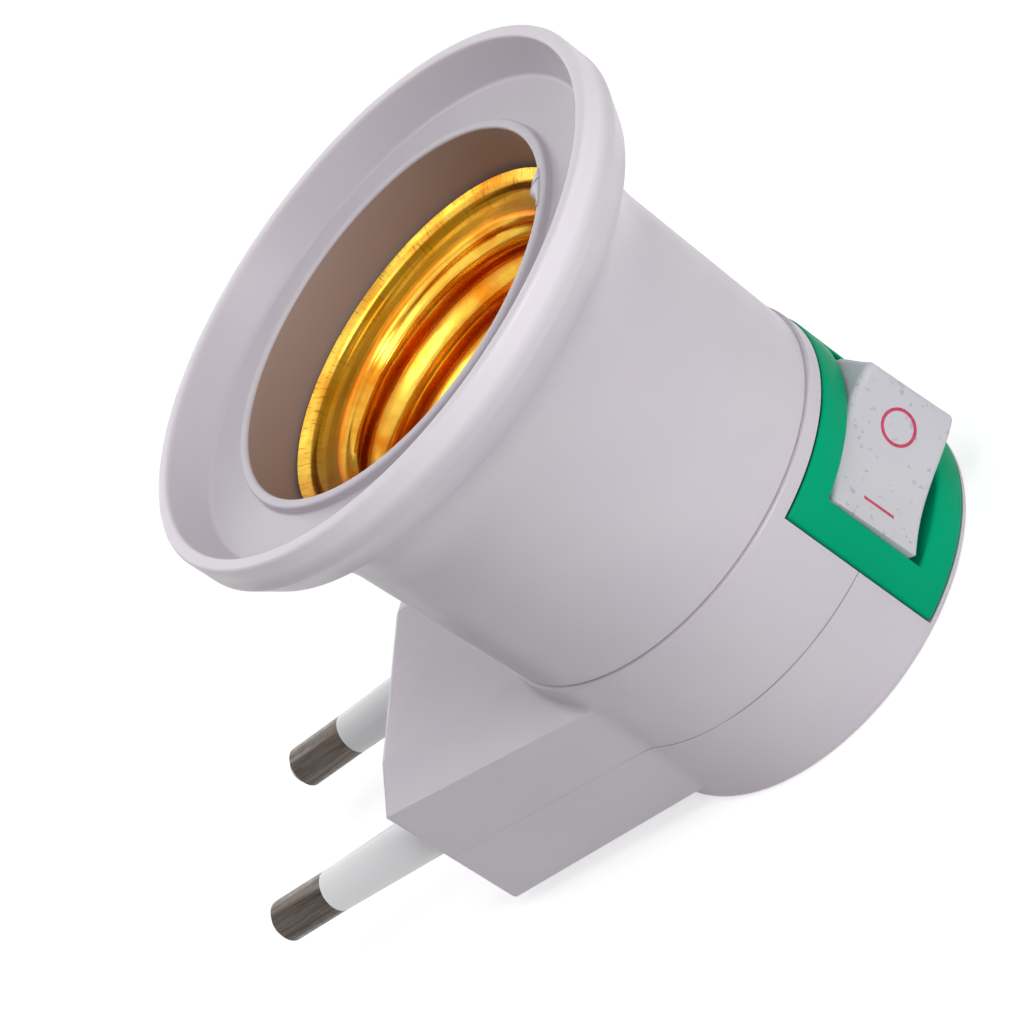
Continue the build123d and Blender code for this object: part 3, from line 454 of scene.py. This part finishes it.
def lofted(name, rings, finish, body):
    """Closed piece through rings of points, capped at both ends."""
    count = len(rings[0])
    vertices = [point for ring in rings for point in ring]
    faces = []
    for row in range(len(rings) - 1):
        a = row * count
        b = a + count
        for index in range(count):
            after = (index + 1) % count
            faces.append((a + index, a + after, b + after, b + index))
    faces.append(tuple(range(count))[::-1])
    faces.append(tuple(range(len(vertices) - count, len(vertices))))
    return new_piece(name, vertices, faces, finish, body)


def nub(name, profile):
    """Half of the nub inside the tube lip: (place along the lip, reach inward) pairs."""
    steps = 24
    rings = []
    for place, reach in profile:
        angle = nub_angle + place / bore_radius
        ring = []
        for step in range(steps):
            turn = 2 * math.pi * step / steps
            across = reach + nub_root if math.cos(turn) > 0 else nub_root
            radius = bore_radius + nub_root - across * math.cos(turn)
            ring.append((radius * math.cos(angle), radius * math.sin(angle),
                         nub_middle + nub_half_height * math.sin(turn)))
        rings.append(ring)
    piece = lofted(name, rings, "white_plastic", "housing")


nub("nub_short", ((0.1, 0.8), (0.17, 1.02), (0.4, 1.0), (0.75, 0.62), (1.0, 0.26), (1.3, 0.02)))
nub("nub_long", ((-3.0, 0.02), (-2.4, 0.18), (-1.6, 0.48), (-0.9, 0.9), (-0.4, 1.18), (-0.17, 1.16),
                 (-0.1, 0.9)))


def block_point(y, s, side):
    """Point of the plug block's skin: s is 0 to 1 up its side, to 2 over its bevel, to 3 at its middle."""
    part = (y - block_root) / (block_face - block_root)
    wide, high, top, flat = [a + (b - a) * part for a, b in zip(root_sizes, face_sizes)]
    stops = ((wide, -high), (wide, high), (flat, top), (0.0, top))
    index = min(int(s), 2)
    (x0, z0), (x1, z1) = stops[index:index + 2]
    across = s - index
    return Vector((side * (x0 + (x1 - x0) * across), y, parting_height + z0 + (z1 - z0) * across))


def junction(s, side):
    """Point where the block meets the base wall, and the normals of the block and the wall there."""
    y = base_radius * 0.6
    for _ in range(30):
        x = block_point(y, s, side).x
        y = math.sqrt(base_radius ** 2 - x ** 2)
    point = block_point(y, s, side)
    nudge = 0.001
    inside = s - nudge if s % 1 > 0.5 else s
    along = block_point(y, inside + nudge, side) - block_point(y, inside, side)
    out = block_point(y + nudge, s, side) - point
    normal = along.cross(out).normalized() * -side
    return point, normal, Vector((point.x, point.y, 0)).normalized()


def fillet_sides(s):
    """Normals of the block and the wall at their junction, and the ways off it along each."""
    normal, wall = junction(s, 1)[1:]
    lean = normal.dot(wall)
    return normal, wall, (wall - normal * lean).normalized(), (normal - wall * lean).normalized()


def block_fillet():
    """Fillet up one side of the plug block, over its top and down the other side, mitred at the edges."""
    rings = []
    for step in range(3 * fillet_steps + 1):
        s = max(0.02, min(step / fillet_steps, 2.99))
        point = junction(s, 1)[0]
        normal, wall, out, up = fillet_sides(s)
        out_reach = up_reach = fillet_reach
        if s in (1, 2):
            before = fillet_sides(s - 0.01)
            after = fillet_sides(s + 0.01)
            normal = (before[0] + after[0]).normalized()
            up = (before[3] + after[3]).normalized()
            up_reach /= math.cos(before[3].angle(after[3]) / 2)
            out = (block_point(point.y + 1, s, 1) - block_point(point.y, s, 1)).normalized()
            out_reach *= 2 / (out.dot(before[2]) + out.dot(after[2]))
        high = point + up * up_reach
        low = point + out * out_reach
        ring = [point - (normal + wall) * fillet_overlap, high + up * fillet_overlap - wall * fillet_tuck]
        for part in range(fillet_steps + 1):
            t = part / fillet_steps
            ring.append(high * (1 - t) ** 2 + point * (2 * t * (1 - t)) + low * t ** 2)
        ring.append(low + out * fillet_overlap - normal * fillet_tuck)
        rings.append(ring)
    rings += [[Vector((-point.x, point.y, point.z)) for point in ring] for ring in rings[::-1]]
    piece = lofted("block_fillet", rings, housing_finish, "housing")


block_fillet()


def shell_line(angle):
    """Centreline of the brass shell at an angle round the lamp axis, from its flange up to its lip."""
    line = [(shell_flange_inside, shell_floor), (10.5, shell_floor), (12.0, shell_floor)]
    for step in range(5):
        bend = math.pi / 2 * step / 4
        line.append((thread_middle - floor_bend * (1 - math.sin(bend)),
                     shell_floor + floor_bend * (1 - math.cos(bend))))
    low = thread_bottom - thread_end
    high = thread_top + thread_end
    steps = 96
    fade = 0.8
    for step in range(steps + 1):
        z = low + (high - low) * step / steps
        ends = min(1, (z - low) / fade, (high - z) / fade)
        ends = ends * ends * (3 - 2 * ends)
        phase = 2 * math.pi * (z - thread_bottom) / thread_pitch - angle
        line.append((thread_middle + thread_wave * ends * math.sin(phase), z))
    line += shell_ledge
    return line


def shell_section(angle):
    """Closed section of the brass shell at an angle, as thick as its sheet."""
    line = [Vector(point) for point in shell_line(angle)]
    outer = []
    inner = []
    for index, point in enumerate(line):
        along = line[min(index + 1, len(line) - 1)] - line[max(index - 1, 0)]
        across = Vector((along.y, -along.x)).normalized() * sheet / 2
        outer.append(point + across)
        inner.append(point - across)
    return outer + inner[::-1]


lamp_shell = turned("lamp_shell", shell_section, 192, "shell_brass")
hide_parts("screw_shell")

# Rocker, and the marks printed on its face
across = Vector((math.cos(rocker_tilt), -math.sin(rocker_tilt), 0))
inward = Vector((math.sin(rocker_tilt), math.cos(rocker_tilt), 0))
low_curve = np.polyfit(*zip(*face_low), 4)
high_curve = np.polyfit(*zip(*face_high), 4)


def rocker_point(place, depth, z):
    """Point of the rocker from its place across, its distance out from the pivot and its height."""
    return pivot + across * place - inward * depth + Vector((0, 0, z - pivot.z))


def face_depth(place, z):
    """Distance of the rocker's face out from the pivot."""
    part = (z - rocker_low) / (rocker_high - rocker_low)
    return float(np.polyval(low_curve, place) * (1 - part) + np.polyval(high_curve, place) * part)


def rocker_outline(z, inset=0.0):
    """Side outline of the rocker at a height, open to the back, as (place, depth)."""
    side = [(place - inset, depth) for place, depth in rocker_side]
    steps = 26
    face = []
    for step in range(steps + 1):
        place = rocker_tips[0] + (rocker_tips[1] - rocker_tips[0]) * step / steps
        face.append((place * (1 - inset / rocker_tips[0]), face_depth(place, z) - inset))
    return side + face + [(-place, depth) for place, depth in side[::-1]]


def rocker_piece():
    """Rocker with rounded edges, hollow and open to the back."""
    levels = 9
    rows = []
    for level in range(levels):
        z = rocker_low + (rocker_high - rocker_low) * level / (levels - 1)
        rows.append([rocker_point(place, depth, z) for place, depth in rocker_outline(z)])
    for z in (rocker_high, rocker_low):
        inner_z = z + rocker_wall if z == rocker_low else z - rocker_wall
        rows.append([rocker_point(place, depth, inner_z) for place, depth in rocker_outline(z, rocker_wall)])
    count = len(rows[0])
    vertices = [point for row in rows for point in row]
    faces = []
    for level in list(range(levels - 1)) + [levels]:
        a = level * count
        b = a + count
        for index in range(count - 1):
            faces.append((a + index, b + index, b + index + 1, a + index + 1))
    last = (levels - 1) * count
    inner_high = levels * count
    inner_low = inner_high + count
    faces.append(tuple(range(count)))
    faces.append(tuple(range(last, last + count))[::-1])
    faces.append(tuple(range(inner_high, inner_high + count)))
    faces.append(tuple(range(inner_low, inner_low + count))[::-1])
    for index in (0, count - 1):
        rim = [level * count + index for level in range(levels)] + [inner_high + index, inner_low + index]
        faces.append(tuple(rim) if index else tuple(rim[::-1]))
    faces.append((0, count - 1, inner_low + count - 1, inner_low))
    faces.append((last + count - 1, last, inner_high, inner_high + count - 1))
    piece = new_piece("rocker_cap", vertices, faces, "rocker_plastic", "rocker")
    tips = {len(rocker_side): 1.0, count - 1 - len(rocker_side): 0.3}
    weights = piece.data.attributes.new("bevel_weight_edge", "FLOAT", "EDGE")
    for edge in piece.data.edges:
        a, b = edge.vertices
        if max(a, b) >= inner_high:
            continue
        weight = 0.0
        if a // count == b // count and a // count in (0, levels - 1):
            weight = 1.0
        elif a % count == b % count:
            weight = tips.get(a % count, 0.0)
        weights.data[edge.index].value = weight
    bevel = piece.modifiers.new("rounding", "BEVEL")
    bevel.limit_method = "WEIGHT"
    bevel.width = rocker_rounding * mm
    bevel.segments = 5
    bevel.use_clamp_overlap = False
    return piece


rocker_cap = rocker_piece()
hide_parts("rocker_button")
print_made = new_material("mark_print")
print_red = print_made.mix(print_made.span(print_made.noise(3.0, 2.0), 0.35, 0.7, 0, 1),
                           srgb(192, 32, 78), srgb(206, 66, 106))
print_material = print_made.principled(Base_Color=print_red, Roughness=0.45)


def mark(name, outline, hole=()):
    """Thin printed mark on the rocker's face, from (place, z) outlines, with a hole if one is given."""
    rings = [outline, hole] if hole else [outline]
    vertices = []
    for lift in (-print_root, print_height):
        for ring in rings:
            for place, z in ring:
                vertices.append(rocker_point(place, face_depth(place, z) + lift, z))
    count = len(outline)
    layer = count * len(rings)
    faces = []
    for index in range(count):
        after = (index + 1) % count
        faces.append((index, after, after + layer, index + layer))
        if hole:
            faces.append((count + after, count + index, count + index + layer, count + after + layer))
            faces.append((layer + index, layer + after, layer + count + after, layer + count + index))
            faces.append((after, index, count + index, count + after))
    if not hole:
        faces.append(tuple(range(layer, layer + count)))
        faces.append(tuple(range(count))[::-1])
    piece = new_piece(name, vertices, faces, print_material, "rocker", smooth=False)
    return piece


def ring_points(radius, steps=64):
    """Points of a circle on the rocker's face."""
    return [(ring_place + radius * math.cos(2 * math.pi * step / steps),
             ring_height + radius * math.sin(2 * math.pi * step / steps)) for step in range(steps)]


mark("mark_off", ring_points(ring_radius), ring_points(ring_inside))
mark("mark_on", stroke)

# Rounded edges of the switch frame
frame_node = nodes["switch_bezel"]
weld = frame_node.modifiers.new("weld", "WELD")
weld.merge_threshold = 0.002 * mm
flatten = frame_node.modifiers.new("flatten", "DECIMATE")
flatten.decimate_type = "DISSOLVE"
flatten.angle_limit = math.radians(1.0)
rounding = frame_node.modifiers.new("rounding", "BEVEL")
rounding.limit_method = "ANGLE"
rounding.angle_limit = math.radians(35)
rounding.width = 0.4 * mm
rounding.segments = 4
rounding.use_clamp_overlap = False
rounding.harden_normals = True

# Floor, world, lights and camera
floor_made = new_material("floor")
floor_diffuse = floor_made.node("BsdfDiffuse", {"Color": (0.8, 0.8, 0.8, 1)}).outputs[0]
floor_far = floor_made.node("VectorMath", {0: floor_made.place()}, operation="LENGTH").outputs["Value"]
floor_glow = floor_made.span(floor_far, 150, 600, 0.6, 1)
floor_white = floor_made.node("Emission", {"Color": white, "Strength": floor_glow}).outputs[0]
floor_both = floor_made.node("AddShader", {0: floor_diffuse, 1: floor_white}).outputs[0]
floor_mix = floor_made.node("MixShader", {0: floor_made.seen(), 1: floor_diffuse, 2: floor_both})
floor_material = floor_made.finish(floor_mix)
floor_size = 3.0
floor_drop = 0.02 * mm
floor_mesh = bpy.data.meshes.new("floor")
floor_corners = [(-floor_size, -floor_size, 0), (floor_size, -floor_size, 0), (floor_size, floor_size, 0),
                 (-floor_size, floor_size, 0)]
floor_mesh.from_pydata(floor_corners, [], [(0, 1, 2, 3)])
floor_mesh.materials.append(floor_material)
floor = bpy.data.objects.new("floor", floor_mesh)
bpy.context.scene.collection.objects.link(floor)
floor.location = (0, 0, -floor_drop)

world = bpy.data.worlds.new("studio")
bpy.context.scene.world = world
studio = Nodes(world, "OutputWorld")
studio_light = studio.node("Background", {"Color": white, "Strength": 0.15}).outputs[0]
studio_seen = studio.node("Background", {"Color": white, "Strength": 1.0}).outputs[0]
studio.finish(studio.node("MixShader", {0: studio.seen(), 1: studio_light, 2: studio_seen}))

camera_right = camera_forward.cross(camera_up).normalized()
camera_up = camera_right.cross(camera_forward)
camera_data = bpy.data.cameras.new("camera")
camera_data.lens = camera_lens
camera_data.sensor_width = camera_sensor
camera_data.sensor_fit = "HORIZONTAL"
camera_data.clip_start = 0.01
camera = bpy.data.objects.new("camera", camera_data)
bpy.context.scene.collection.objects.link(camera)
camera_turn = Matrix((camera_right, camera_up, -camera_forward)).transposed()
camera.matrix_world = Matrix.Translation(camera_place) @ camera_turn.to_4x4()
bpy.context.scene.camera = camera

# Soft lamps, aimed at the object: name, azimuth and elevation it shines from in degrees, power in watts
aim = Vector((0, 10, 22)) * mm
lamp_distance = 0.6
lamp_size = 0.35
lamps = (
    ("lamp_front_low", 240, 8, 1.83),
    ("lamp_front_high", 240, 62, 0.84),
    ("lamp_back_high", 60, 62, 0.55),
    ("lamp_back", 60, 35, 0.27),
    ("lamp_back_low", 40, 8, 0.4),
    ("lamp_right_high", 0, 62, 0.15),
    ("lamp_left_high", 180, 62, 0.15),
)
for name, azimuth, elevation, power in lamps:
    lamp_data = bpy.data.lights.new(name, "AREA")
    lamp_data.shape = "DISK"
    lamp_data.size = lamp_size
    lamp_data.energy = power
    lamp = bpy.data.objects.new(name, lamp_data)
    bpy.context.scene.collection.objects.link(lamp)
    around = math.radians(azimuth)
    above = math.radians(elevation)
    toward = Vector((math.cos(around) * math.cos(above), math.sin(around) * math.cos(above), math.sin(above)))
    lamp.location = aim + toward * lamp_distance
    lamp.rotation_euler = toward.to_track_quat("Z", "Y").to_euler()

bpy.context.scene.view_settings.view_transform = "Standard"
